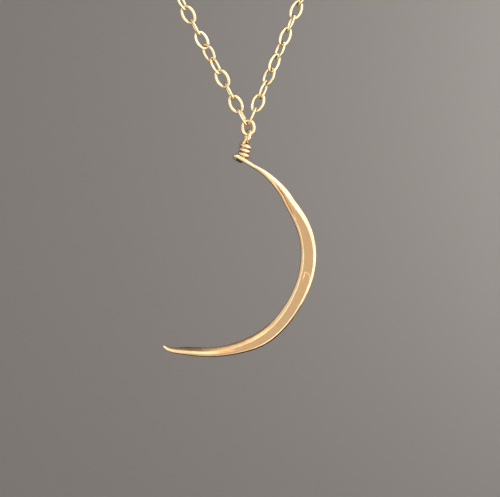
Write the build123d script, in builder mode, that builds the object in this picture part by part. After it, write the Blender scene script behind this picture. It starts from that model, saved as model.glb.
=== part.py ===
from build123d import *
from collections import namedtuple
from math import cos, radians, sin, sqrt, tan
import os

# A hammered crescent moon that hangs from a wrapped wire loop on a cable chain.
# All lengths are in millimetres. +X is the wearer's left, -Y is the front and +Z is up.
# The origin is the middle of the clasp, where the necklace rests on the nape.

# The necklace as it hangs: its widest spread, and how far the oval ring is below, before and beside the nape
SPREAD = 118.0
DROP = 118.0
REACH = 102.5
RING_SIDE = 6.5
LEFT_LEAN = 28.0
RIGHT_LEAN = 22.4
STRAIGHT_RUN = 45.0

# The wire of the moon, its stem, its loop and its wraps
WIRE = 0.70
WRAP_GAP = 0.03
WRAP_ROOM = 0.09
WRAP_SHIFT = 0.08
WRAP_PITCH = 0.82
RUN_GAP = 0.1

# The moon
MOON_RADIUS = 18.8
MOON_WIDTH = 3.0
MOON_THICKNESS = 1.27

# The stem and the loop
STEM_LEAN = 12.0
STEM_DROP = 4.83
LOOP_TWIST = 20.0
LOOP_RADIUS = 0.76
LOOP_CLEARANCE = 0.07
LOOP_FOOT_ANGLE = 70.0
LOOP_LEAVE_ANGLE = 18.0
WRAP_TURNS = 2.75
WRAP_START_ANGLE = 150.0
WRAP_START_BELOW = 0.15

# The wire's turn above the moon
TURN_BEHIND = 1.25
TURN_FALL = 0.45
STEM_BEND = 0.35
LEG_SLOPE = 28.8
ENTRY_ANGLE = -70.05
ENTRY_RADIUS_SHARE = 1.0026

# The oval ring in the middle
RING_WIRE = 0.66
RING_HEIGHT = 3.35
RING_WIDTH = 2.85
RING_END_RADIUS = 1.02
LEFT_GRIP = 0.58
RIGHT_GRIP = 0.42

# The chain's links
LINK_WIRE = 0.38
LINK_WIDTH = 2.4
LINK_END_RADIUS = 0.8
LINK_PITCH = 2.738
LINK_GAP = 0.13

# The clasp at the nape and the ring that closes it
CLASP_WIRE = 1.2
CLASP_DIAMETER = 6.0
EYE_WIRE = 0.7
EYE_DIAMETER = 2.6
END_RING_WIRE = 0.8
END_RING_DIAMETER = 4.2

# Chosen points of the chain's way from the straight run to the nape, for the right strand, as shares
# of half the spread, the reach and the drop. The left strand mirrors them.
CHAIN_ROUTE = [(0.763, 0.81, 0.39), (1, 0.468, 0.153), (0.729, 0.117, 0.034)]

# How far each link is turned about the strand, from the ring up, where 0 is face-on
LEFT_ROLLS = (78, 0, -83, 0, 61, -40, 22, -84, 0, 66)
RIGHT_ROLLS = (90, -20, 68, -38, 44, -56, 37, -75, 30, -65)

# Sections of the moon from its thin top to its tip. The angle is measured about the moon's centre
# from +X down. Radius, width and thickness are shares of the moon's, face is the share of the width
# that is hammered flat, and depth is how far behind the stem it lies, as a share of a wire and its gap.
Section = namedtuple("Section", "angle radius width thickness face depth")
MOON_SECTIONS = [
    Section(-71, 1.005, 0.242, 0.54, 0.20, -1.00),
    Section(-64, 0.985, 0.259, 0.57, 0.18, -0.96),
    Section(-57, 0.982, 0.324, 0.66, 0.16, -0.85),
    Section(-45, 0.972, 0.499, 0.74, 0.14, -0.50),
    Section(-33, 0.9605, 0.677, 0.84, 0.20, -0.22),
    Section(-21, 0.9755, 0.853, 0.93, 0.45, -0.05),
    Section(-9, 0.9975, 0.950, 1.00, 0.58, 0.03),
    Section(6, 1.0075, 1.000, 1.00, 0.62, 0.05),
    Section(24, 1.0035, 0.957, 1.00, 0.60, 0.05),
    Section(42, 1.0085, 0.940, 0.97, 0.55, 0.05),
    Section(60, 1.0147, 0.937, 0.92, 0.49, 0.05),
    Section(72, 1.005, 0.790, 0.88, 0.43, 0.05),
    Section(84, 1.003, 0.653, 0.84, 0.38, 0.05),
    Section(96, 1.0065, 0.600, 0.80, 0.36, 0.05),
    Section(102, 1.0155, 0.540, 0.77, 0.34, 0.05),
    Section(108, 1.0380, 0.430, 0.68, 0.32, 0.05),
    Section(113, 1.0545, 0.310, 0.56, 0.32, 0.05),
    Section(116.6, 1.0430, 0.160, 0.34, 0.32, 0.05),
]
# The moon's point is turned up by this much from the circle's way.
TIP_CURL = 25.0
ROUND_FACE = 0.2
ROUND_EASE = 0.02


def slant(angle):
    """A level direction in the XZ plane turned down by the angle."""
    return Vector(cos(radians(angle)), 0, -sin(radians(angle)))


def oval(length, width, end_radius):
    """Lines of a closed oval along X: two round ends and two larger side arcs that meet them."""
    half_l = length / 2
    half_w = width / 2
    reach = half_l - end_radius
    side_radius = (reach**2 + half_w**2 - end_radius**2) / (2 * (half_w - end_radius))
    share = end_radius / (side_radius - end_radius)
    meet_x = reach + reach * share
    meet_y = (side_radius - half_w) * share
    ThreePointArc((meet_x, -meet_y), (half_l, 0), (meet_x, meet_y))
    ThreePointArc((meet_x, meet_y), (0, half_w), (-meet_x, meet_y))
    ThreePointArc((-meet_x, meet_y), (-half_l, 0), (-meet_x, -meet_y))
    ThreePointArc((-meet_x, -meet_y), (0, -half_w), (meet_x, -meet_y))


def start_plane(wire):
    """The plane across a wire at its start."""
    return Plane(origin=wire @ 0, z_dir=wire % 0)


# The stem's own frame: X is across it, Y is to the back and Z runs up it through the oval ring's lower bar.
ring_centre = Vector(RING_SIDE, -REACH, -DROP)
stem_up = Vector(sin(radians(STEM_LEAN)), 0, cos(radians(STEM_LEAN)))
bar_centre = ring_centre - Vector(0, 0, (RING_HEIGHT - RING_WIRE) / 2)
loop_drop = LOOP_RADIUS - RING_WIRE / 2 - LOOP_CLEARANCE
loop_centre = bar_centre - stem_up * loop_drop
stem_across = Vector(0, 1, 0).cross(stem_up)
loop_across = stem_across.rotate(Axis((0, 0, 0), stem_up), LOOP_TWIST)
stem_frame = Plane(origin=loop_centre, x_dir=loop_across, z_dir=stem_up)

# The moon's centre follows from where its wire crosses the stem.
wire_step = WIRE + WRAP_GAP
crossing = bar_centre - stem_up * STEM_DROP
moon_centre = crossing - slant(ENTRY_ANGLE) * MOON_RADIUS * ENTRY_RADIUS_SHARE
leg_way = slant(LEG_SLOPE)
leg_under = slant(LEG_SLOPE + 90)
front = Vector(0, -wire_step, 0)
turn_front = crossing - leg_way * TURN_BEHIND + front
turn_back = turn_front - front + leg_under * TURN_FALL
turn_middle = (turn_front + turn_back) / 2 - leg_way * (turn_back - turn_front).length / 2
corner = crossing - stem_up * (TURN_FALL / leg_under.dot(-stem_up))
bend_share = tan(radians(leg_way.get_angle(stem_up) / 2))
bend_start = corner - leg_way * STEM_BEND * bend_share
bend_end = corner + stem_up * STEM_BEND * bend_share


def moon_section(place, along, outward, width, thickness, face):
    """A hammered section: flat front and back faces joined by two round flanks."""
    half_face = width * face / 2
    with BuildSketch(Plane(origin=place, x_dir=outward, z_dir=along)) as section:
        with BuildLine():
            Line((-half_face, thickness / 2), (half_face, thickness / 2))
            ThreePointArc((half_face, thickness / 2), (width / 2, 0), (half_face, -thickness / 2))
            Line((half_face, -thickness / 2), (-half_face, -thickness / 2))
            ThreePointArc((-half_face, -thickness / 2), (-width / 2, 0), (-half_face, thickness / 2))
        make_face()
    return section.sketch


def moon_point(row):
    """The middle of one of the moon's sections."""
    behind = Vector(0, row.depth * wire_step, 0)
    return moon_centre + slant(row.angle) * MOON_RADIUS * row.radius + behind


# One wire makes the moon, the turn above it, the stem, the loop and the wraps. The loop's foot is in front
# of the stem, where the bend up from the stem meets it, and its end leaves behind the stem.
loop_line_radius = LOOP_RADIUS + WIRE / 2
foot_y = -loop_line_radius * cos(radians(LOOP_FOOT_ANGLE))
foot_z = -loop_line_radius * sin(radians(LOOP_FOOT_ANGLE))
foot_bend = -foot_y / (1 - cos(radians(LOOP_FOOT_ANGLE)))
stem_top = stem_frame.from_local_coords(Vector(0, 0, foot_z - foot_bend * sin(radians(LOOP_FOOT_ANGLE))))
loop_foot = stem_frame.from_local_coords(Vector(0, foot_y, foot_z))
loop_crown = stem_frame.from_local_coords(Vector(0, 0, loop_line_radius))
leave_y = loop_line_radius * cos(radians(LOOP_LEAVE_ANGLE))
leave_z = -loop_line_radius * sin(radians(LOOP_LEAVE_ANGLE))
loop_leave = stem_frame.from_local_coords(Vector(0, leave_y, leave_z))
origin = stem_frame.origin
leave_way = stem_frame.from_local_coords(Vector(0, leave_z, -leave_y)) - origin
wrap_top = -loop_line_radius - WIRE / 2 - WRAP_GAP - WRAP_START_BELOW
wrap_radius = wire_step + WRAP_ROOM
wrap_foot = Vector(-WRAP_SHIFT, 0, wrap_top)
wrap_side = Vector(cos(radians(WRAP_START_ANGLE)), sin(radians(WRAP_START_ANGLE)), 0)
wrap_start = stem_frame.from_local_coords(wrap_side * wrap_radius + wrap_foot)
wrap_out = stem_frame.from_local_coords(wrap_side) - origin
wrap_way = stem_up.cross(wrap_out) * wrap_radius * radians(360) - stem_up * WRAP_PITCH
wrap_axis = stem_frame.from_local_coords(wrap_foot)
wrap_frame = Plane(origin=wrap_axis, x_dir=wrap_out, z_dir=-stem_up)
wraps = Helix(WRAP_PITCH, WRAP_PITCH * WRAP_TURNS, wrap_radius, lefthand=True).moved(wrap_frame.location)

moon_points = [moon_point(row) for row in MOON_SECTIONS]
with BuildLine() as spine:
    Spline(turn_front, *moon_points, tangents=(leg_way, slant(MOON_SECTIONS[-1].angle + 90 + TIP_CURL)))
round_width = WIRE + ROUND_EASE
sections = [moon_section(turn_front, leg_way, -leg_under, round_width, round_width, ROUND_FACE)]
for row, place in zip(MOON_SECTIONS, moon_points):
    along = spine.edge().tangent_at(spine.edge().param_at_point(place))
    outward = along.cross(Vector(0, 1, 0)).normalized()
    width = MOON_WIDTH * row.width
    sections.append(moon_section(place, along, outward, width, MOON_THICKNESS * row.thickness, row.face))

with BuildPart() as crescent_moon:
    loft(sections)
    with BuildLine() as bent_wire:
        Line(turn_front + leg_way * WIRE, turn_front)
        ThreePointArc(turn_front, turn_middle, turn_back)
        Line(turn_back, bend_start)
        TangentArc(bend_start, bend_end, tangent=leg_way)
        Line(bend_end, stem_top)
        TangentArc(stem_top, loop_foot, tangent=stem_up)
        ThreePointArc(loop_foot, loop_crown, loop_leave)
        Spline(loop_leave, wrap_start, tangents=(leave_way, wrap_way))
        add(wraps)
    with BuildSketch(start_plane(bent_wire.wire())):
        Circle(WIRE / 2)
    sweep(path=bent_wire.wire())

# The oval ring faces the front.
ring_face = Plane(origin=ring_centre, x_dir=(0, 0, 1), z_dir=(0, -1, 0))
with BuildPart() as centre_ring:
    with BuildLine(ring_face) as ring_line:
        oval(RING_HEIGHT - RING_WIRE, RING_WIDTH - RING_WIRE, RING_END_RADIUS)
    with BuildSketch(start_plane(ring_line.wire())):
        Circle(RING_WIRE / 2)
    sweep(path=ring_line.wire())

# The clasp: a plain ring with an eye for the left strand.
clasp_radius = (CLASP_DIAMETER - CLASP_WIRE) / 2
eye_radius = (EYE_DIAMETER - EYE_WIRE) / 2
eye_centre = Plane(origin=(-clasp_radius - eye_radius, 0, 0), z_dir=(0, -1, 0))
with BuildPart() as clasp:
    Torus(clasp_radius, CLASP_WIRE / 2, rotation=(90, 0, 0))
    with Locations(eye_centre):
        Torus(eye_radius, EYE_WIRE / 2)

# The round ring that joins the right strand to the clasp lies flat through it.
end_ring_radius = (END_RING_DIAMETER - END_RING_WIRE) / 2
end_ring_x = clasp_radius + end_ring_radius - END_RING_WIRE / 2 - RUN_GAP - CLASP_WIRE / 2
with BuildPart() as end_ring:
    with Locations((end_ring_x, 0, 0)):
        Torus(end_ring_radius, END_RING_WIRE / 2)

# One link of the chain
link_length = LINK_PITCH + LINK_GAP + 2 * LINK_WIRE
with BuildPart() as link:
    with BuildLine() as link_line:
        oval(link_length - LINK_WIRE, LINK_WIDTH - LINK_WIRE, LINK_END_RADIUS)
    with BuildSketch(start_plane(link_line.wire())):
        Circle(LINK_WIRE / 2)
    sweep(path=link_line.wire())


def grip(bar_wire):
    """How far a link's middle is from the middle of a bar that its end goes round."""
    return link_length / 2 - LINK_WIRE - RUN_GAP - bar_wire / 2


def ring_hold(side, out):
    """The middle of the oval ring's wire where a strand holds it, a distance out from its top."""
    end_middle = (RING_HEIGHT - RING_WIRE) / 2 - RING_END_RADIUS
    return ring_centre + Vector(side * out, 0, end_middle + sqrt(RING_END_RADIUS**2 - out**2))


def strand_route(side, out, lean, nape_x):
    """The line of a strand: straight up from the oval ring, then round the neck to the nape."""
    hold = ring_hold(side, out)
    up = Vector(side * sin(radians(lean)), 0, cos(radians(lean)))
    bends = [(side * x * SPREAD / 2, -y * REACH, -z * DROP) for x, y, z in CHAIN_ROUTE]
    with BuildLine() as route:
        Line(hold, hold + up * STRAIGHT_RUN)
        Spline(hold + up * STRAIGHT_RUN, *bends, (nape_x, 0, 0), tangents=(up, (-side, 0, 0)))
    return route.wire()


def strand_places(route, nape_wire, rolls, last_face):
    """A plane for each link of a strand, along its route and turned about it."""
    first = grip(RING_WIRE)
    run = route.length - first - grip(nape_wire)
    steps = round(run / LINK_PITCH)
    face = Vector(0, -1, 0)
    frames = []
    for step in range(steps + 1):
        at = first + run * step / steps
        way = route.tangent_at(at, PositionMode.LENGTH)
        face = (face - way * face.dot(way)).normalized()
        frames.append((route.position_at(at, PositionMode.LENGTH), way, face))
    hidden = steps + 1 - len(rolls)
    wanted = face.get_signed_angle(last_face, way)
    twist = (wanted - rolls[-1] - 90 * hidden + 90) % 180 - 90
    turns = list(rolls) + [rolls[-1] + (90 + twist / hidden) * (n + 1) for n in range(hidden)]
    return [
        Plane(origin=place, x_dir=way, z_dir=face.rotate(Axis((0, 0, 0), way), turn))
        for (place, way, face), turn in zip(frames, turns)
    ]


eye_bar_x = -clasp_radius - 2 * eye_radius
end_ring_bar_x = end_ring_x + end_ring_radius
left_route = strand_route(-1, LEFT_GRIP, LEFT_LEAN, eye_bar_x)
right_route = strand_route(1, RIGHT_GRIP, RIGHT_LEAN, end_ring_bar_x)

with BuildPart() as chain_left:
    with Locations(*strand_places(left_route, EYE_WIRE, LEFT_ROLLS, Vector(0, 0, 1))):
        add(link.part)

with BuildPart() as chain_right:
    with Locations(*strand_places(right_route, END_RING_WIRE, RIGHT_ROLLS, Vector(0, 1, 0))):
        add(link.part)

os.makedirs("parts", exist_ok=True)
pieces = {
    "crescent_moon": crescent_moon,
    "centre_ring": centre_ring,
    "chain_left": chain_left,
    "chain_right": chain_right,
    "clasp": clasp,
    "end_ring": end_ring,
}
for name, piece in pieces.items():
    piece.part.label = name
    export_step(piece.part, f"parts/{name}.step")

print("strands", round(left_route.length, 1), round(right_route.length, 1), "mm")
print("moon", crescent_moon.part.volume, crescent_moon.part.center() - bar_centre)
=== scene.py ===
"""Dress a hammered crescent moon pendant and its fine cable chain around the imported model.

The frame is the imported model's: +X is the wearer's left, -Y is the front, +Z is up, and the origin is the
middle of the clasp at the nape. Sizes of the pendant and its chain are written in millimetres, and a mesh is
scaled to metres when it is made. The studio is in metres.
"""

import logging
import math
import random
from collections.abc import Callable, Sequence
from dataclasses import dataclass
from enum import Enum

import bmesh
import bpy
import numpy as np
from mathutils import Matrix, Vector


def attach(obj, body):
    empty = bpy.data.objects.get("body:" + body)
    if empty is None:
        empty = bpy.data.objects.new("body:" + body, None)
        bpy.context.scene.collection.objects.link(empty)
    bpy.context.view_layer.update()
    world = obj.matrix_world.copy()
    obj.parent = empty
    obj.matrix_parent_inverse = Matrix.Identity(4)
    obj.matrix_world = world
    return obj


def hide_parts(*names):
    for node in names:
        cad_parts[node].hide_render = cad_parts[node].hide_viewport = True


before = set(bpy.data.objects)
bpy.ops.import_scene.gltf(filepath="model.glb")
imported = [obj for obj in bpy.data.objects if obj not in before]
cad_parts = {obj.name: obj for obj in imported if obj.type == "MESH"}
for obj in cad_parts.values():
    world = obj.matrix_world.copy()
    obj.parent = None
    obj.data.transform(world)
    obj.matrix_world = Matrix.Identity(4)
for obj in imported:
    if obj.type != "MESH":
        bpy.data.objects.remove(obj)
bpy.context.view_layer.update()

Array = np.ndarray
Skin = bmesh.types.BMesh
Pair = tuple[float, float]
Triple = tuple[float, float, float]
Levels = tuple[float, ...]
Columns = dict[str, Array]

MM = 0.001
LOG = logging.getLogger("moon_pendant")
BACK = Vector((0, 1, 0))
UP = Vector((0, 0, 1))
QUARTER_TURN = 0.25
HALF_TURN = 0.5
FREE_CURVE_LENGTH = 1.1
CLOUD_LEVELS = (0.32, 0.68)
CLOUD_SHARE = 0.4
SHADE_SHARE = 0.6
SCUFF_SCALE = 0.25
SCUFF_STRETCH = (1.0, 1.0, 0.15)
SCUFF_SHARE = 0.6


class Body(Enum):
    """The bodies that pieces ride on."""

    NECKLACE = "necklace"
    PENDANT = "pendant"


class Slot(Enum):
    """The names of the finishes' material slots."""

    MOON = "hammered_gold"
    CHAIN = "chain_gold"
    RING = "ring_gold"
    CLASP = "clasp_gold"


def slant(angle: float) -> Vector:
    """Return the level direction in the XZ plane turned down by the angle in degrees."""
    return Vector((math.cos(math.radians(angle)), 0, -math.sin(math.radians(angle))))


def rows_of(points: Sequence[Vector]) -> Array:
    """Return points as an array with one row each."""
    return np.array([tuple(point) for point in points])


def units(ways: Array) -> Array:
    """Scale rows to a length of 1."""
    return ways / np.linalg.norm(ways, axis=1)[:, None]


def run_along(points: Array) -> Array:
    """Return how far along its line each point is."""
    return np.concatenate([[0], np.cumsum(np.linalg.norm(np.diff(points, axis=0), axis=1))])


def cubic(knots: Array, values: Array, slopes: Array, at: Array) -> Array:
    """Read cubic pieces between knots.

    Args:
        knots: Rising places of the values.
        values: One row for each knot.
        slopes: The values' slopes, one row for each knot.
        at: Places to read.

    Returns:
        One row for each place.
    """
    index = np.clip(np.searchsorted(knots, at) - 1, 0, len(knots) - 2)
    span = np.diff(knots)[index][:, None]
    share = (at - knots[index])[:, None] / span
    start = (2 * share**3 - 3 * share**2 + 1) * values[index]
    end = (3 * share**2 - 2 * share**3) * values[index + 1]
    leaving = (share**3 - 2 * share**2 + share) * span * slopes[index]
    arriving = (share**3 - share**2) * span * slopes[index + 1]
    return start + end + leaving + arriving


def fair_slopes(knots: Array, values: Array, first: Array, last: Array) -> Array:
    """Work out slopes that make the curvature run on through each knot.

    Args:
        knots: Rising places of the values.
        values: One row for each knot.
        first: The slope at the first knot.
        last: The slope at the last knot.

    Returns:
        One row of slopes for each knot.
    """
    spans = np.diff(knots)
    rises = np.diff(values, axis=0) / spans[:, None]
    ties = np.eye(len(knots))
    wanted = np.zeros(values.shape)
    wanted[0] = first
    wanted[-1] = last
    for row in range(1, len(knots) - 1):
        before = 1 / spans[row - 1]
        after = 1 / spans[row]
        ties[row, row - 1 : row + 2] = before, 2 * (before + after), after
        wanted[row] = 3 * (rises[row - 1] * before + rises[row] * after)
    return np.linalg.solve(ties, wanted)


@dataclass
class Route:
    """A wire's middle line, laid stretch by stretch as a metalsmith bends it."""

    points: list[Vector]
    way: Vector
    spacing: float

    def straight(self, end: Vector) -> None:
        """Lay a straight stretch to the end."""
        start = self.points[-1]
        self._lay(lambda share: start.lerp(end, share), (end - start).length)
        self.way = (end - start).normalized()

    def bend(self, end: Vector) -> None:
        """Lay an arc that leaves in the way the wire points and reaches the end."""
        start = self.points[-1]
        chord = end - start
        axis = self.way.cross(chord).normalized()
        side = axis.cross(self.way)
        radius = chord.length_squared / (2 * chord.dot(side))
        turn = 2 * self.way.angle(chord)
        middle = start + side * radius
        arm = start - middle
        self._lay(lambda share: middle + Matrix.Rotation(turn * share, 3, axis) @ arm, radius * turn)
        self.way = Matrix.Rotation(turn, 3, axis) @ self.way

    def ease(self, end: Vector, way: Vector) -> None:
        """Lay a free curve to the end that arrives in the given way."""
        start = self.points[-1]
        reach = (end - start).length
        ends = np.array([0.0, reach])
        values = rows_of([start, end])
        slopes = rows_of([self.way.normalized(), way.normalized()])

        def place(share: float) -> Vector:
            return Vector(cubic(ends, values, slopes, np.array([share * reach]))[0])

        self._lay(place, reach * FREE_CURVE_LENGTH)
        self.way = way.normalized()

    def coil(self, foot: Vector, axis: Vector, pitch: float, turns: float) -> None:
        """Lay turns round an axis through the foot, which advance along it by the pitch."""
        arm = self.points[-1] - foot
        arm = arm - axis * arm.dot(axis)
        start = self.points[-1] - arm
        whole = math.tau * turns

        def place(share: float) -> Vector:
            return start + Matrix.Rotation(-whole * share, 3, axis) @ arm + axis * pitch * turns * share

        self._lay(place, arm.length * whole)
        self.way = (self.points[-1] - self.points[-2]).normalized()

    def _lay(self, place: Callable[[float], Vector], length: float) -> None:
        """Add evenly spaced points of a stretch, after its start."""
        steps = max(1, math.ceil(length / self.spacing))
        self.points += [place(step / steps) for step in range(1, steps + 1)]


def ways_along(points: Array) -> Array:
    """Return the unit direction of a line at each of its points."""
    return units(np.gradient(points, axis=0))


def closed_ways(points: Array) -> Array:
    """Return the unit direction at each point of a closed line, whose last point is its first again."""
    ways = np.roll(points[:-1], -1, axis=0) - np.roll(points[:-1], 1, axis=0)
    return units(np.concatenate([ways, ways[:1]]))


def set_round(line: Array, across_way: Array, behind_way: Array, across: Array, behind: Array) -> Array:
    """Set outlines on a line, with each vertex so far across and so far behind its section's middle."""
    placed_across = across_way[:, None, :] * across[:, :, None]
    return line[:, None, :] + placed_across + behind_way[:, None, :] * behind[:, :, None]


def from_outside(turns: Array) -> Array:
    """Return how far round a section each vertex is from its outermost one, in turns up to a half."""
    return np.abs((turns + HALF_TURN) % 1 - HALF_TURN)


def carried_frames(points: Array, across: Vector) -> tuple[Array, Array]:
    """Carry a section's axes along a line without twist.

    Args:
        points: The line.
        across: The first section's direction across.

    Returns:
        The directions across and behind at each point.
    """
    ways = [Vector(way) for way in ways_along(points)]
    arm = (across - ways[0] * across.dot(ways[0])).normalized()
    arms = [arm]
    for before, after in zip(ways, ways[1:]):
        arm = before.rotation_difference(after) @ arm
        arm = (arm - after * arm.dot(after)).normalized()
        arms.append(arm)
    return rows_of(arms), rows_of([way.cross(arm) for way, arm in zip(ways, arms)])


def swept(rings: Array, closed: bool = False, marks: Columns | None = None) -> Skin:
    """Roll a grid into a tube and draw it through sections.

    Args:
        rings: Places in millimetres, as sections by vertices by three.
        closed: Whether the last section meets the first.
        marks: Named values for each section and vertex.

    Returns:
        The closed skin.
    """
    marks = marks or {}
    sections, sides = rings.shape[:2]
    skin = bmesh.new()
    layers = {name: skin.verts.layers.float.new(name) for name in marks}
    bmesh.ops.create_grid(skin, x_segments=sides, y_segments=sections - 1, size=1.0)
    for vert in skin.verts:
        side = round((vert.co.x + 1) / 2 * sides) % sides
        section = round((vert.co.y + 1) / 2 * (sections - 1))
        vert.co = rings[section, side] * MM
        for name, layer in layers.items():
            vert[layer] = marks[name][section, side]
    bmesh.ops.remove_doubles(skin, verts=skin.verts, dist=1e-7)
    if not closed:
        bmesh.ops.holes_fill(skin, edges=[edge for edge in skin.edges if edge.is_boundary])
    bmesh.ops.recalc_face_normals(skin, faces=skin.faces)
    return skin


def linked(name: str, data: bpy.types.ID) -> bpy.types.Object:
    """Make an object in the scene."""
    made = bpy.data.objects.new(name, data)
    bpy.context.scene.collection.objects.link(made)
    return made


def meshed(skin: Skin, name: str) -> bpy.types.Mesh:
    """Turn a skin into a mesh."""
    mesh = bpy.data.meshes.new(name)
    skin.to_mesh(mesh)
    skin.free()
    return mesh


def placed(skin: Skin, name: str) -> bpy.types.Object:
    """Make a smooth-shaded object of a skin at the origin."""
    mesh = meshed(skin, name)
    mesh.shade_smooth()
    return linked(name, mesh)


def joined(skins: Sequence[Skin]) -> Skin:
    """Put skins together in one."""
    whole = bmesh.new()
    for skin in skins:
        mesh = meshed(skin, "part")
        whole.from_mesh(mesh)
        bpy.data.meshes.remove(mesh)
    return whole


def dressed(
    piece: bpy.types.Object, material: bpy.types.Material, body: Body, slot: Slot, *nodes: str
) -> None:
    """Give a piece its finish and its body, and hide the nodes that it stands for."""
    piece.data.materials.append(material)
    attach(piece, body.value)
    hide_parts(*nodes)
    triangles = sum(len(face.vertices) - 2 for face in piece.data.polygons)
    LOG.info("%s rides on %s with %d triangles", piece.name, body.value, triangles)


class Signal:
    """A socket that takes part in Python expressions and adds the Math nodes that they need."""

    def __init__(self, shader: "Shader", socket: bpy.types.NodeSocket | None) -> None:
        """Keep the shader and the socket."""
        self.shader = shader
        self.socket = socket

    def _math(self, operation: str, *values: "Signal | float") -> "Signal":
        """Add a Math node on values."""
        return self.shader.node("ShaderNodeMath", {"operation": operation}, *values)

    def __add__(self, other: "Signal | float") -> "Signal":
        """Add."""
        return self._math("ADD", self, other)

    def __mul__(self, other: "Signal | float") -> "Signal":
        """Multiply."""
        return self._math("MULTIPLY", self, other)

    __radd__ = __add__
    __rmul__ = __mul__


class Shader:
    """A material's nodes, made one by one."""

    def __init__(self, name: str) -> None:
        """Start a material with a bare tree."""
        self.material = bpy.data.materials.new(name)
        self.material.use_nodes = True
        self.tree = self.material.node_tree
        self.tree.nodes.clear()

    def node(
        self, kind: str, settings: dict | None = None, *values: object, output: str = "", **named: object
    ) -> Signal:
        """Add a node.

        Args:
            kind: The node's type.
            settings: Its own settings.
            values: Values or links of its sockets, in order.
            output: The name of the output to return, or the first.
            named: Values or links of its sockets by name, with _ for a space.

        Returns:
            The output as a signal.
        """
        made = self.tree.nodes.new(kind)
        for key, value in (settings or {}).items():
            setattr(made, key, value)
        for socket, value in zip([socket for socket in made.inputs if socket.enabled], values):
            self._set(socket, value)
        for key, value in named.items():
            self._set(made.inputs[key.replace("_", " ")], value)
        outputs = [socket for socket in made.outputs if socket.enabled and output in ("", socket.name)]
        return Signal(self, outputs[0] if outputs else None)

    def mix(self, share: Signal | float, low: object, high: object) -> Signal:
        """Mix two colours by a share."""
        return self.node("ShaderNodeMix", {"data_type": "RGBA"}, share, low, high)

    def noise(self, scale: float, detail: float = 2.0, stretch: Sequence[float] = (1, 1, 1)) -> Signal:
        """Return a noise on Object coordinates from 0 to 1, with a scale per metre."""
        place = self.node("ShaderNodeTexCoord", output="Object")
        place = self.node("ShaderNodeMapping", None, Vector=place, Scale=stretch)
        return self.node("ShaderNodeTexNoise", None, Vector=place, Scale=scale, Detail=detail)

    def mark(self, name: str) -> Signal:
        """Return a mesh's mark, which is 0 where the mesh has none."""
        return self.node("ShaderNodeAttribute", {"attribute_name": name}, output="Fac")

    def finish(self, surface: Signal) -> bpy.types.Material:
        """End with the surface."""
        self.node("ShaderNodeOutputMaterial", None, surface)
        return self.material

    def _set(self, socket: bpy.types.NodeSocket, value: object) -> None:
        """Link a signal to a socket, or give the socket a value."""
        if isinstance(value, Signal):
            self.tree.links.new(value.socket, socket)
        elif socket.type == "RGBA":
            socket.default_value = (*value, 1.0)[:4]
        else:
            socket.default_value = value


@dataclass(frozen=True)
class Gold:
    """A gold-filled finish that wanders between two colours and has painted shade in creases.

    The mark shade on a mesh moves from the bright to the deep colour; on the moon it is partly the hammered
    face's own deeper gold and partly painted shade and painted highlight. A second mark darkens the colour
    towards a dark brown, as painted shade in crevices and joints and painted dark reflections along edges.
    """

    name: str
    bright: Triple
    deep: Triple
    bright_rough: float
    deep_rough: float
    mottle: float = 1500.0
    grain: float = 8000.0
    grain_depth: float = 0.0006
    wear: float = 0.08
    # The dark brown of the painted shade.
    painted_shade: Triple = (0.10, 0.05, 0.025)

    def material(self) -> bpy.types.Material:
        """Build the finish's nodes."""
        shader = Shader(self.name)
        clouds = shader.noise(self.mottle, 3.0)
        soft = shader.node("ShaderNodeMapRange", None, clouds, *CLOUD_LEVELS, 0.0, 1.0)
        fine = shader.noise(self.grain, 4.0)
        scuffs = shader.noise(self.grain * SCUFF_SCALE, 2.0, SCUFF_STRETCH)
        shade = shader.mark("shade")
        colour = shader.mix(SHADE_SHARE * shade + CLOUD_SHARE * soft, self.bright, self.deep)
        # Painted shade: a second mark darkens the colour in crevices, joints and along edges.
        colour = shader.mix(shader.mark("painted_shade"), colour, self.painted_shade)
        rough = self.bright_rough + shade * (self.deep_rough - self.bright_rough)
        rough = rough + soft * self.wear + scuffs * (self.wear * SCUFF_SHARE)
        grain = fine + scuffs * SCUFF_SHARE
        bump = shader.node(
            "ShaderNodeBump", None, Strength=1.0, Distance=self.grain_depth * MM, Height=grain
        )
        surface = shader.node(
            "ShaderNodeBsdfPrincipled", None, Base_Color=colour, Metallic=1.0, Roughness=rough, Normal=bump
        )
        return shader.finish(surface)


@dataclass(frozen=True)
class Matte:
    """The plain pale surface of the floor and the backdrop."""

    name: str
    colour: Triple
    rough: float = 0.9

    def material(self) -> bpy.types.Material:
        """Build the finish's nodes."""
        shader = Shader(self.name)
        surface = shader.node("ShaderNodeBsdfPrincipled", None, Base_Color=self.colour, Roughness=self.rough)
        return shader.finish(surface)


MOON_GOLD = Gold(
    name="hammered_gold",
    bright=(1.00, 0.77, 0.45),
    deep=(0.885, 0.528, 0.252),
    bright_rough=0.24,
    deep_rough=0.14,
    mottle=520.0,
    grain=6000.0,
    grain_depth=0.0010,
)
CHAIN_GOLD = Gold(
    name="chain_gold",
    bright=(1.00, 0.86, 0.53),
    deep=(1.00, 0.77, 0.42),
    bright_rough=0.21,
    deep_rough=0.17,
    # The chain's painted shade at its joints is a lighter brown.
    painted_shade=(0.24, 0.10, 0.045),
)
RING_GOLD = Gold(
    name="ring_gold",
    bright=(1.00, 0.74, 0.42),
    deep=(0.95, 0.64, 0.33),
    bright_rough=0.22,
    deep_rough=0.20,
)
CLASP_GOLD = Gold(
    name="clasp_gold",
    bright=(0.98, 0.76, 0.44),
    deep=(0.94, 0.66, 0.35),
    bright_rough=0.22,
    deep_rough=0.20,
    mottle=700.0,
    grain=6000.0,
    grain_depth=0.0010,
)
PALE_PAPER = Matte("pale_paper", (0.57, 0.535, 0.505))


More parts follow.
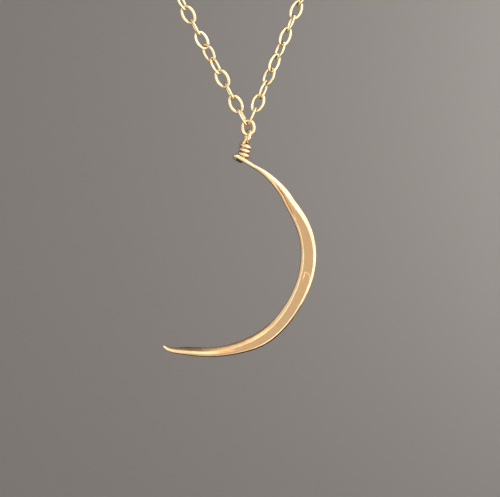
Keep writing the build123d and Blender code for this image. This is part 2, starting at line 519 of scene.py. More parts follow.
@dataclass(frozen=True)
class MoonRow:
    """A section of the moon, at an angle down from +X.

    The radius, width and thickness are shares of the moon's. Inner and outer are how much of the width each
    flank takes. The depth is how far behind the moon's middle it is, in steps of the wrapped wire. The corner
    says how full the inner flank is: 2 is an ellipse's and 1 a flat bevel's. The tilt is how far the face
    looks in, in degrees. The drop is how far the face has fallen where it meets the inner flank.
    """

    angle: float
    radius: float
    width: float
    thickness: float
    inner: float
    outer: float
    depth: float
    corner: float = 1.7
    tilt: float = 0.0
    drop: float = 0.0


MOON_ROWS = tuple(
    MoonRow(*row)
    for row in (
        (-71, 1.005, 0.268, 0.54, 0.50, 0.50, -1.00, 2),
        (-64, 0.985, 0.268, 0.57, 0.48, 0.50, -0.96, 2),
        (-57, 0.982, 0.324, 0.66, 0.45, 0.52, -0.85, 1.9),
        (-45, 0.972, 0.499, 0.74, 0.41, 0.57, -0.50, 1.8),
        (-37, 0.966, 0.617, 0.81, 0.36, 0.60, -0.30, 1.7),
        (-33, 0.9605, 0.677, 0.84, 0.32, 0.54, -0.22, 1.7),
        (-21, 0.9755, 0.853, 0.93, 0.24, 0.37, -0.05, 1.7),
        (-9, 0.9975, 0.950, 1.00, 0.20, 0.25, 0.03, 1.7),
        (6, 1.0075, 1.000, 1.00, 0.22, 0.21, 0.05, 1.7),
        (24, 1.0035, 0.957, 1.00, 0.24, 0.19, 0.05, 1.6),
        (42, 1.0085, 0.940, 0.97, 0.30, 0.17, 0.05, 1.4),
        (60, 1.0147, 0.937, 0.92, 0.38, 0.16, 0.05, 1.3),
        (72, 1.005, 0.790, 0.88, 0.42, 0.15, 0.05, 1.25, 2.0, 0.03),
        (84, 1.003, 0.653, 0.84, 0.45, 0.14, 0.05, 1.2, 2.0, 0.07),
        (96, 1.0065, 0.600, 0.80, 0.50, 0.12, 0.05, 1.15, 3.0, 0.10),
        (102, 1.0155, 0.540, 0.77, 0.52, 0.12, 0.05, 1.15, 5.0, 0.10),
        (108, 1.038, 0.430, 0.68, 0.50, 0.14, 0.05, 1.2, 7.0, 0.08),
        (113, 1.0545, 0.310, 0.56, 0.44, 0.22, 0.05, 1.35, 9.0, 0.04),
        (116.6, 1.043, 0.160, 0.34, 0.40, 0.34, 0.05, 1.7, 9.0, 0.0),
    )
)


@dataclass
class HammeredMoon:
    """One gold wire: the hammered crescent, the turn above it, the stem, the loop and the wraps.

    Places along the moon are angles in degrees down from +X. Places round a section, such as a side's, are in
    turns from its outermost vertex towards the back.
    """

    wire: float = 0.70
    wrap_gap: float = 0.03
    wrap_room: float = 0.09
    wrap_shift: float = 0.08
    wrap_pitch: float = 0.82
    wrap_turns: float = 2.75
    wrap_start_angle: float = 150.0
    wrap_start_below: float = 0.15
    radius: float = 18.8
    width: float = 3.0
    thickness: float = 1.27
    stem_lean: float = 12.0
    stem_drop: float = 4.83
    loop_twist: float = 15.5
    loop_radius: float = 0.76
    loop_clearance: float = 0.07
    loop_foot_angle: float = 70.0
    loop_leave_angle: float = 18.0
    turn_behind: float = 1.25
    turn_fall: float = 0.45
    turn_swell: float = 0.15
    turn_swell_length: float = 1.6
    stem_bend: float = 0.35
    leg_slope: float = 28.8
    entry_angle: float = -70.05
    entry_radius_share: float = 1.0026
    ring_wire: float = 0.66
    ring_bar: Triple = (6.5, -102.5, -119.345)
    worked_from: float = -66.0
    worked_to: float = -50.0
    tip_slant: float = 0.2
    tip_round: float = 0.5
    tip_curl: float = 25.0
    tip_slant_reach: float = 1.2
    tip_least: float = 0.05
    flank_turn: float = 0.1
    drop_from: float = 0.4
    rounder: Pair = (24.0, 45.0)
    outer_corner: float = 2.0
    # The pale tip and the pale crest are painted highlight.
    pale_tip: Pair = (100.0, 110.0)
    pale_tip_shade: Pair = (1.0, 0.2)
    pale_crest: Pair = (80.0, 94.0)
    pale_crest_share: float = 0.8
    pale_crest_side: Pair = (0.7, 0.8)
    # Painted dark reflections along the lower outer edge and on the lower inner flank.
    dark_edge: Levels = (35.0, 50.0, 106.0, 113.0)
    dark_edge_reach: Pair = (0.075, 0.092)
    dark_edge_reach_at: Pair = (60.0, 90.0)
    dark_edge_sharpness: float = 5.0
    dark_flank: Levels = (82.0, 95.0, 102.0, 114.0)
    dark_flank_levels: Levels = (0.0, 1.0, 1.0, 0.2)
    dark_flank_share: float = 0.8
    dark_flank_side: Pair = (0.08, 0.096)
    # Deep gold on the flanks is painted shade; the pale outer flank is painted highlight.
    flank_shade: Levels = (1.0, 0.2, 0.2, 1.0, 0.8, 0.2)
    flank_shade_at: Levels = (-15.0, 0.0, 30.0, 50.0, 80.0, 100.0)
    outer_shade: float = 0.2
    shade_fade: int = 6
    facet: float = 1.9
    facet_bowl: float = 20.0
    facet_fade: int = 4
    flank_bowl: float = 45.0
    blow_seed: int = 41
    blows_round: int = 8
    blow_drift: float = 0.5
    blow_sway: float = 0.05
    blow_pace: Pair = (0.8, 1.2)
    crease: Levels = (-46.0, -40.0, -27.0, -17.0)
    crease_turn: float = 0.6
    crease_reach: float = 0.019
    crease_depth: float = 0.06
    ridge_angle: float = 11.6
    ridge_turn: float = 0.75
    ridge_lean: float = 8.0
    ridge_side: Levels = (0.66, 0.70, 0.86, 0.89)
    ridge_height: float = 0.06
    ridge_rise: float = 0.3
    ridge_fall: float = 3.5
    # Gaps between runs of the wire over which the painted shade in crevices goes from full to none.
    crevice: Pair = (0.42, 0.58)
    # The painted shadow under the turn: its side, its start and its length.
    under_side: Pair = (-0.5, -0.1)
    under_start: Pair = (-0.125, 0.125)
    under_length: float = 3.2
    sides: int = 80
    spacing: float = 0.1
    wire_spacing: float = 0.085
    end_ease: float = 0.12
    end_angles: tuple[int, ...] = (20, 40, 60, 80, 90)

    def __post_init__(self) -> None:
        """Work out the places that the wire goes through."""
        lean = math.radians(self.stem_lean)
        self.step = self.wire + self.wrap_gap
        self.stem_up = Vector((math.sin(lean), 0, math.cos(lean)))
        self.loop_line = self.loop_radius + self.wire / 2
        drop = self.loop_radius - self.ring_wire / 2 - self.loop_clearance
        self.loop_centre = Vector(self.ring_bar) - self.stem_up * drop
        stem_across = BACK.cross(self.stem_up)
        across = Matrix.Rotation(math.radians(self.loop_twist), 3, self.stem_up) @ stem_across
        self.stem_frame = Matrix((across, self.stem_up.cross(across), self.stem_up)).transposed()
        self.crossing = Vector(self.ring_bar) - self.stem_up * self.stem_drop
        entry = self.radius * self.entry_radius_share
        self.centre = self.crossing - slant(self.entry_angle) * entry
        self.leg_way = slant(self.leg_slope)
        self.leg_under = slant(self.leg_slope + 90)
        self.turn_front = self.crossing - self.leg_way * self.turn_behind - BACK * self.step
        self.turn_back = self.turn_front + BACK * self.step + self.leg_under * self.turn_fall

    def on_stem(self, across: float, behind: float, up: float) -> Vector:
        """Return a place in the stem's frame, which starts at the loop's middle."""
        return self.loop_centre + self.stem_frame @ Vector((across, behind, up))

    def crescent(self) -> tuple[Array, Columns]:
        """Lay the crescent from its tip up to the turn.

        Returns:
            The middle line, and columns of the section's sizes at each of its points.
        """
        places = [self.turn_front]
        swollen = self.wire * (1 + self.turn_swell)
        sizes = [(swollen, self.wire, 0.5, 0.5, 2.0, 0.0, 0.0, 0.0, self.entry_angle)]
        for row in MOON_ROWS:
            behind = BACK * row.depth * self.step
            places.append(self.centre + slant(row.angle) * self.radius * row.radius + behind)
            worked = (row.angle - self.worked_from) / (self.worked_to - self.worked_from)
            width = self.width * row.width
            thickness = self.thickness * row.thickness
            worked = min(max(worked, 0), 1)
            shares = (row.inner, row.outer, row.corner)
            sizes.append((width, thickness, *shares, worked, row.tilt, row.drop, row.angle))
        places = rows_of(places)
        sizes = np.array(sizes)
        knots = run_along(places)
        last_way = slant(MOON_ROWS[-1].angle + 90 + self.tip_curl)
        slopes = fair_slopes(knots, places, np.array(self.leg_way), np.array(last_way))
        count = math.ceil(knots[-1] / self.spacing)
        at = np.linspace(knots[-1], 0, count)
        line = cubic(knots, places, slopes, at)
        read = cubic(knots, sizes, np.gradient(sizes, knots, axis=0), at)
        names = ("width", "thickness", "inner", "outer", "corner", "worked", "tilt", "drop", "angle")
        columns = {name: read[:, column : column + 1] for column, name in enumerate(names)}
        columns["worked"] = np.clip(columns["worked"], 0, 1)
        from_tip = np.minimum(np.arange(count) * self.spacing / self.tip_round, 1)[:, None]
        taper = np.sqrt(np.maximum(1 - (1 - from_tip) ** 2, self.tip_least))
        columns["width"] = columns["width"] * taper
        columns["thickness"] = columns["thickness"] * taper
        return line, columns

    def fitting(self) -> Array:
        """Lay the wire from the turn through the stem and the loop to the end of the wraps."""
        route = Route([self.turn_front], -self.leg_way, self.wire_spacing)
        half_turn = (self.turn_back - self.turn_front).length / 2
        route.bend((self.turn_front + self.turn_back) / 2 - self.leg_way * half_turn)
        route.bend(self.turn_back)
        corner = self.crossing - self.stem_up * (self.turn_fall / self.leg_under.dot(-self.stem_up))
        tangent = self.stem_bend * math.tan(self.leg_way.angle(self.stem_up) / 2)
        route.straight(corner - self.leg_way * tangent)
        route.bend(corner + self.stem_up * tangent)
        foot_angle = math.radians(self.loop_foot_angle)
        foot_y = -self.loop_line * math.cos(foot_angle)
        foot_z = -self.loop_line * math.sin(foot_angle)
        foot_bend = -foot_y / (1 - math.cos(foot_angle))
        route.straight(self.on_stem(0, 0, foot_z - foot_bend * math.sin(foot_angle)))
        route.bend(self.on_stem(0, foot_y, foot_z))
        route.bend(self.on_stem(0, 0, self.loop_line))
        leave_angle = math.radians(self.loop_leave_angle)
        leave_y = self.loop_line * math.cos(leave_angle)
        leave_z = -self.loop_line * math.sin(leave_angle)
        route.bend(self.on_stem(0, leave_y, leave_z))
        side_angle = math.radians(self.wrap_start_angle)
        radius = self.step + self.wrap_room
        below = self.loop_line + self.step + self.wrap_start_below - self.wire / 2
        foot = self.on_stem(-self.wrap_shift, 0, -below)
        out = self.stem_frame @ Vector((math.cos(side_angle), math.sin(side_angle), 0))
        way = self.stem_up.cross(out) * radius * math.tau - self.stem_up * self.wrap_pitch
        route.ease(foot + out * radius, way)
        route.coil(foot, -self.stem_up, self.wrap_pitch, self.wrap_turns)
        return rows_of(route.points)

    def faced(self, turns: Array) -> Array:
        """Return how far out of a flank each vertex is, from 0 at the flank's middle to 1 on a face."""
        from_middle = np.abs((turns + QUARTER_TURN) % HALF_TURN - QUARTER_TURN)
        return np.minimum(from_middle / self.flank_turn, 1)

    def outline(self, columns: Columns, turns: Array) -> tuple[Array, Array]:
        """Draw each section's outline.

        Args:
            columns: The sections' sizes.
            turns: The vertices' places round a section, where 0 is outwards and 0.25 is behind.

        Returns:
            How far each vertex is across and behind its section's middle.
        """
        half = columns["width"] / 2
        deep = columns["thickness"] / 2
        outer_edge = half - columns["outer"] * columns["width"]
        inner_edge = columns["inner"] * columns["width"] - half
        fall = math.pi / 2 * (1 - self.faced(turns))
        outwards = from_outside(turns) < QUARTER_TURN
        rounder = np.interp(columns["angle"], self.rounder, (0.0, 1.0))
        corner = columns["corner"]
        corner = np.where(outwards, corner + (self.outer_corner - corner) * rounder, corner)
        bulge = np.sin(fall) ** (2 / corner)
        face_turn = HALF_TURN - 2 * self.flank_turn
        over_back = np.clip((turns - self.flank_turn) / face_turn, 0, 1)
        over_front = np.clip((1 - self.flank_turn - turns) / face_turn, 0, 1)
        inwards = np.where(turns < HALF_TURN, over_back, over_front)
        deep = deep - columns["drop"] * np.clip((inwards - self.drop_from) / (1 - self.drop_from), 0, 1)
        side = np.where(turns < HALF_TURN, 1.0, -1.0)
        behind = side * deep * np.maximum(np.cos(fall), 0) ** (2 / corner)
        flat = outer_edge + (inner_edge - outer_edge) * inwards
        across = flat + np.where(outwards, half - outer_edge, -(half + inner_edge)) * bulge
        worked = columns["worked"]
        across = worked * across + (1 - worked) * half * np.cos(math.tau * turns)
        behind = worked * behind + (1 - worked) * columns["thickness"] / 2 * np.sin(math.tau * turns)
        tilt = np.radians(columns["tilt"])
        return across * np.cos(tilt) + behind * np.sin(tilt), behind * np.cos(tilt) - across * np.sin(tilt)

    def dents(self, skin: Array, flat: Array) -> Array:
        """Work out how far the hammer's facets leave each vertex above their bottoms.

        Args:
            skin: The vertices' places, as sections by vertices by three.
            flat: How flat the surface is there, from 0 on a flank to 1 on a face.

        Returns:
            One height for each vertex.
        """
        rng = random.Random(self.blow_seed)
        sections, sides = skin.shape[:2]
        every = self.facet / self.spacing
        blows = []
        row = 0.0
        while row < sections:
            for share in np.arange(self.blows_round) / self.blows_round:
                drift = rng.uniform(-self.blow_drift, self.blow_drift)
                sway = rng.uniform(-self.blow_sway, self.blow_sway)
                section = min(sections - 1, max(0, round(row + drift * every)))
                blows.append(skin[section, round((share + sway) * sides) % sides])
            row += every * rng.uniform(*self.blow_pace)
        blows = np.array(blows)
        lowest = np.full(skin.shape[:2], np.inf)
        for blow in blows:
            lowest = np.minimum(lowest, ((skin - blow) ** 2).sum(axis=2))
        bowl = 1 / (flat / self.facet_bowl + (1 - flat) / self.flank_bowl)
        return lowest / (2 * bowl)

    def creased(self, columns: Columns, turns: Array) -> Array:
        """Work out how deep the front's inner crease is at each vertex, from 0 to 1."""
        along = np.interp(columns["angle"], self.crease, (0, 1, 1, 0))
        return along * np.exp(-(((turns - self.crease_turn) / self.crease_reach) ** 2))

    def dark_edges(self, columns: Columns, turns: Array) -> Array:
        """Work out how dark each vertex is on the moon's lower part: its outer edge, and its inner flank."""
        # Painted dark reflections: the lower outer edge and the lower inner flank are darkened.
        outer = np.interp(columns["angle"], self.dark_edge, (0, 1, 1, 0))
        reach = np.interp(columns["angle"], self.dark_edge_reach_at, self.dark_edge_reach)
        sharpness = self.dark_edge_sharpness
        outer = outer * np.clip(sharpness - sharpness * from_outside(turns) / reach, 0, 1)
        inner = np.interp(columns["angle"], self.dark_flank, self.dark_flank_levels) * self.dark_flank_share
        return outer + inner * np.interp(np.abs(turns - HALF_TURN), self.dark_flank_side, (1, 0))

    def ridge(self, columns: Columns, turns: Array) -> Array:
        """Work out the height of the low step that a hammer blow left across the outer part of the face."""
        leaning = (turns - self.ridge_turn) * self.ridge_lean
        below = (columns["angle"] - self.ridge_angle - leaning) * math.radians(self.radius)
        across = np.interp(turns, self.ridge_side, (0, 1, 1, 0))
        rise = np.clip(1 / 2 + below / self.ridge_rise, 0, 1)
        return self.ridge_height * rise * np.clip(1 - below / self.ridge_fall, 0, 1) * across

    def painted_shade(self, rings: Array) -> Array:
        """Work out how far each vertex is inside a crevice between two runs of the wire, from 0 to 1."""
        # Painted shade: vertices deep in a crevice between two runs of the wire are darkened.
        middles = rings.mean(axis=1)
        run = run_along(middles)
        depths = []
        for place, ring in zip(run, rings):
            others = middles[np.abs(run - place) > 2 * self.wire]
            gaps = np.linalg.norm(ring[:, None, :] - others[None, :, :], axis=2).min(axis=1)
            depths.append(np.interp(gaps, self.crevice, (1, 0)))
        return np.array(depths)

    def under_turn(self, rings: Array) -> Array:
        """Work out how far each vertex is on the underside of the run behind the turn, from 0 to 1."""
        # Painted shadow on the underside of the run behind the turn.
        middles = rings.mean(axis=1, keepdims=True)
        down = ((rings - middles) @ np.array(self.leg_under)) / (self.wire / 2)
        run = ((rings.mean(axis=1) - np.array(self.turn_front)) @ np.array(self.leg_way))[:, None]
        behind = np.arange(len(rings))[:, None] * self.wire_spacing < self.under_length
        return np.interp(down, self.under_side, (0, 1)) * np.interp(run, self.under_start, (0, 1)) * behind

    def hammered(
        self, smooth: Array, outline: tuple[Array, Array], columns: Columns, turns: Array
    ) -> tuple[Array, Array]:
        """Work the hammer's facets, the low step and the crease into the crescent's outline.

        Args:
            smooth: The smooth crescent's places, as sections by vertices by three.
            outline: How far each of its vertices is across and behind its section's middle.
            columns: The sections' sizes.
            turns: The vertices' places round a section.

        Returns:
            The outline, moved along its normals.
        """
        across, behind = outline
        flat = self.faced(turns) ** self.facet_fade * np.ones(across.shape)
        normal_across = np.roll(behind, -1, axis=1) - np.roll(behind, 1, axis=1)
        normal_behind = np.roll(across, 1, axis=1) - np.roll(across, -1, axis=1)
        size = np.hypot(normal_across, normal_behind)
        rim = (self.facet / 2) ** 2 / (2 * self.facet_bowl)
        lift = (self.dents(smooth, flat) - rim) * columns["worked"]
        lift += self.ridge(columns, turns) - self.creased(columns, turns) * self.crease_depth
        return across + lift * normal_across / size, behind + lift * normal_behind / size

    def shaded(self, columns: Columns, turns: Array) -> Array:
        """Work out how deep the gold's colour is at each vertex of the crescent, from 0 to 1."""
        # The face's deep gold is its own; on the flanks, crest and tip it is painted shade and highlight.
        inner_flank = np.interp(columns["angle"], self.flank_shade_at, self.flank_shade)
        flank = np.where(from_outside(turns) > QUARTER_TURN, inner_flank, self.outer_shade)
        deep_gold = flank + (1 - flank) * self.faced(turns) ** self.shade_fade
        crest = np.interp(columns["angle"], self.pale_crest, (0, self.pale_crest_share))
        crest = crest * np.interp(turns, self.pale_crest_side, (1, 0))
        pale_tip = np.interp(columns["angle"], self.pale_tip, self.pale_tip_shade)
        return columns["worked"] * deep_gold * (1 - crest) * pale_tip

    def round_wire(self, across: Vector, turns: Array) -> Array:
        """Draw the round wire from the turn on, after a first section whose direction across is given."""
        line = self.fitting()
        across_way, behind_way = carried_frames(line, across)
        from_turn = np.arange(len(line))[:, None] * self.wire_spacing / self.turn_swell_length
        swell = 1 + self.turn_swell * np.clip(1 - from_turn, 0, 1)
        round_across = np.cos(math.tau * turns) * self.wire / 2 * swell
        round_behind = np.sin(math.tau * turns) * self.wire / 2 * np.ones((len(line), 1))
        return set_round(line, across_way, behind_way, round_across, round_behind)[1:]

    def build(self) -> bpy.types.Object:
        """Build the wire as one skin, from the crescent's tip to the end of the wraps."""
        line, columns = self.crescent()
        ways = ways_along(line)
        ways[-1] = -np.array(self.leg_way)
        behind_way = units(np.array(BACK) - ways * ways[:, 1:2])
        across_way = np.cross(behind_way, ways)
        turns = np.arange(self.sides)[None, :] / self.sides
        across, behind = self.outline(columns, turns)
        smooth = set_round(line, across_way, behind_way, across, behind)
        across, behind = self.hammered(smooth, (across, behind), columns, turns)
        skin = set_round(line, across_way, behind_way, across, behind)
        near_tip = np.clip(1 - np.arange(len(line)) * self.spacing / self.tip_slant_reach, 0, 1)[:, None] ** 2
        skin += ways[:, None, :] * (near_tip * (across + columns["width"] / 2) * self.tip_slant)[:, :, None]
        fitting = self.round_wire(Vector(across_way[-1]), turns)
        rings = np.concatenate([skin, fitting, self._eased_end(fitting)])
        shade = np.zeros(rings.shape[:2])
        shade[: len(skin)] = self.shaded(columns, turns)
        # Painted shade in the crevices between runs of the wire.
        painted_shade = self.painted_shade(rings)
        # Painted shade in the front's crease and painted dark reflections along the lower edges.
        painted_shade[: len(skin)] += self.creased(columns, turns) + self.dark_edges(columns, turns)
        # A painted shadow under the run behind the turn.
        painted_shade[len(skin) : len(skin) + len(fitting)] += self.under_turn(fitting)
        marks = {"shade": shade, "painted_shade": np.clip(painted_shade, 0, 1)}
        return placed(swept(rings, marks=marks), "crescent_moon_wire")

    def _eased_end(self, rings: Array) -> Array:
        """Round over the cut end of a wire with a few smaller sections."""
        middle = rings[-1].mean(axis=0)
        way = middle - rings[-2].mean(axis=0)
        way /= np.linalg.norm(way)
        arms = rings[-1] - middle
        made = []
        for angle in self.end_angles:
            turn = math.radians(angle)
            shrink = 1 - self.end_ease / (self.wire / 2) * (1 - math.cos(turn))
            made.append(middle + way * self.end_ease * math.sin(turn) + arms * shrink)
        return np.array(made)


def oval_line(length: float, width: float, end_radius: float, steps: int) -> Array:
    """Lay a closed oval along X of two round ends and two larger side arcs that meet them.

    Args:
        length: The oval's length.
        width: The oval's width.
        end_radius: The radius of the round ends.
        steps: The number of points.

    Returns:
        Points from the end on +X all the way round, with the first again at the end.
    """
    half_length = length / 2
    half_width = width / 2
    reach = half_length - end_radius
    side_radius = (reach**2 + half_width**2 - end_radius**2) / (2 * (half_width - end_radius))
    below = side_radius - half_width
    meet = math.atan2(below, reach)
    quarter_end = end_radius * meet
    side_angle = math.pi / 2 - meet
    quarter = quarter_end + side_radius * side_angle
    points = []
    for step in range(steps + 1):
        place = step / steps * 4 * quarter
        part = int(min(place // quarter, 3))
        run = place - part * quarter
        run = run if part % 2 == 0 else quarter - run
        if run <= quarter_end:
            turn = run / end_radius
            point = (reach + end_radius * math.cos(turn), end_radius * math.sin(turn))
        else:
            turn = meet + (run - quarter_end) / side_radius
            point = (side_radius * math.cos(turn), side_radius * math.sin(turn) - below)
        points.append((point[0] * (1, -1, -1, 1)[part], point[1] * (1, 1, -1, -1)[part], 0.0))
    return np.array(points)


@dataclass
class CableChain:
    """A strand of oval links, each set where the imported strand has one."""

    node: str
    name: str
    seed: int
    length: float = 3.628
    width: float = 2.4
    end_radius: float = 0.8
    wire: float = 0.38
    face: float = 0.56
    edge: float = 0.46
    outwards: float = 0.045
    squareness: float = 2.2
    joint: float = 0.55
    joint_side: float = 0.6
    joint_painted_shade: float = 0.5
    near_z: float = -80.0
    near_faces: tuple[int, int] = (56, 20)
    far_faces: tuple[int, int] = (36, 12)

    def link(self, steps: int, sides: int) -> bpy.types.Mesh:
        """Make one link along X that faces Z, of wire pressed slightly flat."""
        line = oval_line(self.length - self.wire, self.width - self.wire, self.end_radius, steps)
        outwards = np.cross(closed_ways(line), np.array(UP))
        turns = np.arange(sides) / sides * math.tau
        power = 2 / self.squareness
        across = np.sign(np.cos(turns)) * np.abs(np.cos(turns)) ** power * self.face / 2 + self.outwards
        above = np.sign(np.sin(turns)) * np.abs(np.sin(turns)) ** power * self.edge / 2
        rings = set_round(line, outwards, rows_of([UP]), across[None, :], above[None, :])
        from_end = (self.length - self.wire) / 2 - np.abs(line[:, :1])
        inside = np.clip(self.joint_side - np.cos(turns), 0, 1)[None, :]
        joint = np.clip(1 - from_end / self.joint, 0, 1) * inside
        # Painted shade on the inner side of each end, where the next link touches.
        marks = {"painted_shade": joint * self.joint_painted_shade, "shade": np.zeros(joint.shape)}
        return meshed(swept(rings, closed=True, marks=marks), "link")

    def places(self) -> list[Matrix]:
        """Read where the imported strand's links are."""
        strand = linked("strand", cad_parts[self.node].data.copy())
        for other in bpy.context.selected_objects:
            other.select_set(False)
        strand.select_set(True)
        bpy.context.view_layer.objects.active = strand
        bpy.ops.object.mode_set(mode="EDIT")
        bpy.ops.mesh.select_all(action="SELECT")
        bpy.ops.mesh.remove_doubles(threshold=1e-6)
        bpy.ops.mesh.separate(type="LOOSE")
        bpy.ops.object.mode_set(mode="OBJECT")
        found = []
        for part in list(bpy.context.selected_objects):
            points = np.empty(len(part.data.vertices) * 3)
            part.data.vertices.foreach_get("co", points)
            points = points.reshape(-1, 3)
            middle = points.mean(axis=0)
            axes = np.linalg.eigh(np.cov((points - middle).T))[1]
            along = Vector(axes[:, 2])
            facing = Vector(axes[:, 0])
            turned = Matrix((along, facing.cross(along), facing)).transposed().to_4x4()
            found.append(Matrix.Translation(middle) @ turned)
            mesh = part.data
            bpy.data.objects.remove(part)
            bpy.data.meshes.remove(mesh)
        return sorted(found, key=lambda place: place.translation.z)

    def build(self) -> bpy.types.Object:
        """Set a link at each place, with more faces where the camera is near."""
        rng = random.Random(self.seed)
        near_link = self.link(*self.near_faces)
        far_link = self.link(*self.far_faces)
        strand = bmesh.new()
        for place in self.places():
            near = place.translation.z < self.near_z * MM
            before = len(strand.verts)
            strand.from_mesh(near_link if near else far_link)
            strand.verts.ensure_lookup_table()
            fresh = strand.verts[before:]
            bmesh.ops.transform(strand, matrix=place, verts=fresh)
            shade = strand.verts.layers.float["shade"]
            depth = rng.random()
            for vert in fresh:
                vert[shade] = depth
        return placed(strand, self.name)


@dataclass
class OvalRing:
    """The jump ring in the middle, closed with a hairline seam."""

    centre: Triple = (6.5, -102.5, -118.0)
    height: float = 3.35
    width: float = 2.85
    end_radius: float = 1.02
    wire: float = 0.66
    seam: float = 0.012
    seam_ease: float = 0.03
    steps: int = 112
    sides: int = 32

    def build(self) -> bpy.types.Object:
        """Bend the wire into an oval that faces the front."""
        flat = oval_line(self.height - self.wire, self.width - self.wire, self.end_radius, self.steps)
        line = np.stack([-flat[:, 1], flat[:, 2], flat[:, 0]], axis=1) + np.array(self.centre)
        start = self.steps // 4
        line = np.roll(line[:-1], -start, axis=0)
        line = np.concatenate([line, line[:1]])
        ways = closed_ways(line)
        line[0] += ways[0] * self.seam / 2
        line[-1] -= ways[-1] * self.seam / 2
        behind = np.array(BACK) * np.ones((len(line), 1))
        across = np.cross(ways, behind)
        turns = np.arange(self.sides) / self.sides * math.tau
        arms = set_round(np.zeros(line.shape), across, behind, np.cos(turns)[None, :], np.sin(turns)[None, :])
        rings = line[:, None, :] + arms * self.wire / 2
        first = line[0] + arms[0] * (self.wire / 2 - self.seam_ease)
        last = line[-1] + arms[-1] * (self.wire / 2 - self.seam_ease)
        rings[0] += ways[0] * self.seam_ease
        rings[-1] -= ways[-1] * self.seam_ease
        return placed(swept(np.concatenate([first[None], rings, last[None]])), "oval_ring")


def spun_ring(centre: Vector, facing: Vector, radius: float, wire: float, steps: int, sides: int) -> Skin:
    """Spin a round wire into a ring.

    Args:
        centre: The ring's middle.
        facing: The ring's axis.
        radius: The radius of the wire's middle line.
        wire: The wire's diameter.
        steps: Sections round the ring.
        sides: Vertices round the wire.

    Returns:
        The ring's skin.
    """
    ring = bmesh.new()
    across = facing.orthogonal().normalized()
    turned = Matrix((across, facing, across.cross(facing))).transposed().to_4x4()
    place = Matrix.Translation((centre + across * radius) * MM) @ turned
    bmesh.ops.create_circle(ring, segments=sides, radius=wire / 2 * MM, matrix=place)
    bmesh.ops.spin(
        ring,
        geom=ring.edges[:],
        cent=centre * MM,
        axis=facing,
        angle=math.tau,
        steps=steps,
        use_merge=True,
        use_duplicate=False,
    )
    bmesh.ops.recalc_face_normals(ring, faces=ring.faces)
    return ring


@dataclass
class NapeClasp:
    """The plain clasp ring with its eye, and the round ring that joins the other strand."""

    wire: float = 1.2
    diameter: float = 6.0
    eye_wire: float = 0.7
    eye_diameter: float = 2.6
    ring_wire: float = 0.8
    ring_diameter: float = 4.2
    run_gap: float = 0.1
    clasp_faces: tuple[int, int] = (96, 32)
    eye_faces: tuple[int, int] = (64, 24)
    ring_faces: tuple[int, int] = (80, 28)

    def build_clasp(self) -> bpy.types.Object:
        """Spin the clasp and its eye."""
        radius = (self.diameter - self.wire) / 2
        eye_radius = (self.eye_diameter - self.eye_wire) / 2
        ring = spun_ring(Vector(), BACK, radius, self.wire, *self.clasp_faces)
        eye_centre = Vector((-radius - eye_radius, 0, 0))
        eye = spun_ring(eye_centre, BACK, eye_radius, self.eye_wire, *self.eye_faces)
        return placed(joined([ring, eye]), "nape_clasp")

    def build_ring(self) -> bpy.types.Object:
        """Spin the ring that lies flat through the clasp."""
        radius = (self.ring_diameter - self.ring_wire) / 2
        clasp_radius = (self.diameter - self.wire) / 2
        x = clasp_radius + radius - self.ring_wire / 2 - self.run_gap - self.wire / 2
        ring = spun_ring(Vector((x, 0, 0)), UP, radius, self.ring_wire, *self.ring_faces)
        return placed(ring, "nape_ring")


@dataclass(frozen=True)
class Softbox:
    """A soft studio light: where it is from the moon, how large and how bright it is."""

    name: str
    place: Triple
    size: Pair
    radiance: float
    colour: Triple = (1.0, 1.0, 1.0)
    towards: Triple = (0.0, 0.0, 0.0)

    def hang(self, aim: Vector) -> None:
        """Hang the light, which faces a place near its aim."""
        light = bpy.data.lights.new(self.name, "AREA")
        light.shape = "RECTANGLE"
        light.size, light.size_y = self.size
        light.energy = self.radiance * math.pi * self.size[0] * self.size[1]
        light.color = self.colour
        lamp = linked(self.name, light)
        lamp.location = aim + Vector(self.place)
        lamp.rotation_euler = (Vector(self.towards) - Vector(self.place)).to_track_quat("-Z", "Y").to_euler()
        lamp.visible_camera = False


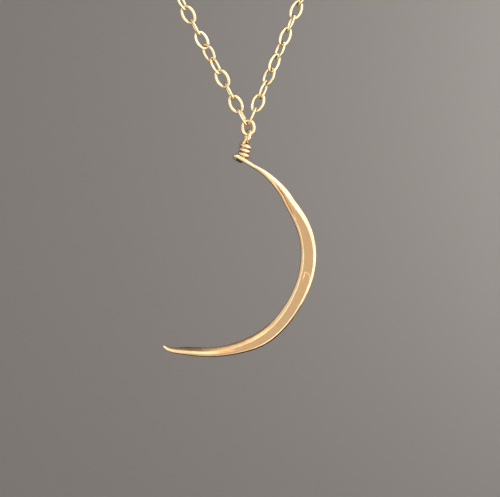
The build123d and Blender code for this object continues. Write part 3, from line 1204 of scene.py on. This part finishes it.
@dataclass
class Studio:
    """The floor that curves up into a backdrop, the soft lights and the camera."""

    aim: Triple = (0.00686, -0.1025, -0.14097)
    frame_width: float = 0.095
    distance: float = 0.6
    sensor: float = 36.0
    floor_z: float = -2.2
    floor_radius: float = 3.4
    sweep_radius: float = 0.4
    wall_height: float = 3.85
    cove_steps: int = 96
    clip_start: float = 0.01
    world: Triple = (0.205, 0.198, 0.190)
    lights: tuple[Softbox, ...] = (
        Softbox("right", (0.58, -0.15, 0.17), (1.4, 1.2), 2.0, (0.97, 0.98, 1.0)),
        Softbox("upper front", (0.12, -0.854, 0.416), (1.1, 0.40), 1.3, (1.0, 0.97, 0.92)),
        Softbox("high front", (0.0, -0.636, 0.706), (1.3, 0.335), 0.75, (1.0, 0.97, 0.92)),
        Softbox("lower right", (0.42, -0.52, -0.52), (0.5, 0.4), 1.6),
        Softbox("front", (0.0, -1.6, -0.05), (1.2, 1.0), 0.56),
        Softbox("lower front", (0.0, -0.8, -0.58), (1.3, 0.8), 0.62),
        Softbox("lower strip", (0.25, -0.72, -0.31), (0.8, 0.1), 1.3),
        Softbox("left", (-0.5, -0.29, 0.0), (1.0, 1.1), 0.68, (0.95, 0.97, 1.0)),
        Softbox("left strip", (-0.34, -0.7, 0.0), (0.2, 0.6), 1.35),
        Softbox("backdrop", (1.25, 3.3, 0.35), (0.5, 0.5), 15.0, towards=(0.2, 3.8, 0.1)),
    )

    def build(self) -> None:
        """Build the studio round the object."""
        self._cove()
        world = bpy.data.worlds.new("studio")
        world.use_nodes = True
        world.node_tree.nodes["Background"].inputs["Color"].default_value = (*self.world, 1.0)
        bpy.context.scene.world = world
        for light in self.lights:
            light.hang(Vector(self.aim))
        camera = bpy.data.cameras.new("camera")
        camera.sensor_width = self.sensor
        camera.lens = self.sensor * self.distance / self.frame_width
        camera.clip_start = self.clip_start
        viewer = linked("camera", camera)
        viewer.location = Vector(self.aim) - BACK * self.distance
        viewer.rotation_euler = (math.pi / 2, 0, 0)
        bpy.context.scene.camera = viewer
        bpy.context.scene.view_settings.view_transform = "Standard"

    def _cove(self) -> None:
        """Spin the floor's profile into a round cove."""
        cove = bmesh.new()
        middle = Vector((*self.aim[:2], self.floor_z))
        profile = [Vector(), Vector((self.floor_radius, 0, 0))]
        bend = Vector((self.floor_radius, 0, self.sweep_radius))
        for angle in range(10, 91, 10):
            turn = math.radians(angle)
            profile.append(bend + Vector((math.sin(turn), 0, -math.cos(turn))) * self.sweep_radius)
        profile.append(profile[-1] + UP * self.wall_height)
        verts = [cove.verts.new(middle + point) for point in profile]
        edges = [cove.edges.new(pair) for pair in zip(verts, verts[1:])]
        bmesh.ops.spin(
            cove,
            geom=verts + edges,
            cent=middle,
            axis=UP,
            angle=math.tau,
            steps=self.cove_steps,
            use_merge=True,
        )
        bmesh.ops.remove_doubles(cove, verts=cove.verts, dist=1e-5)
        bmesh.ops.recalc_face_normals(cove, faces=cove.faces)
        floor = placed(cove, "floor")
        floor.data.materials.append(PALE_PAPER.material())


def main() -> None:
    """Build and dress every piece, then the studio."""
    logging.basicConfig(level=logging.INFO, format="%(message)s")
    chain_gold = CHAIN_GOLD.material()
    clasp_gold = CLASP_GOLD.material()
    moon = HammeredMoon().build()
    dressed(moon, MOON_GOLD.material(), Body.PENDANT, Slot.MOON, "crescent_moon")
    dressed(OvalRing().build(), RING_GOLD.material(), Body.NECKLACE, Slot.RING, "centre_ring")
    left = CableChain("chain_left", "left_strand", 5)
    right = CableChain("chain_right", "right_strand", 9)
    dressed(left.build(), chain_gold, Body.NECKLACE, Slot.CHAIN, "chain_left")
    dressed(right.build(), chain_gold, Body.NECKLACE, Slot.CHAIN, "chain_right")
    clasp = NapeClasp()
    dressed(clasp.build_clasp(), clasp_gold, Body.NECKLACE, Slot.CLASP, "clasp")
    dressed(clasp.build_ring(), clasp_gold, Body.NECKLACE, Slot.CLASP, "end_ring")
    Studio().build()


if __name__ == "__main__":
    main()
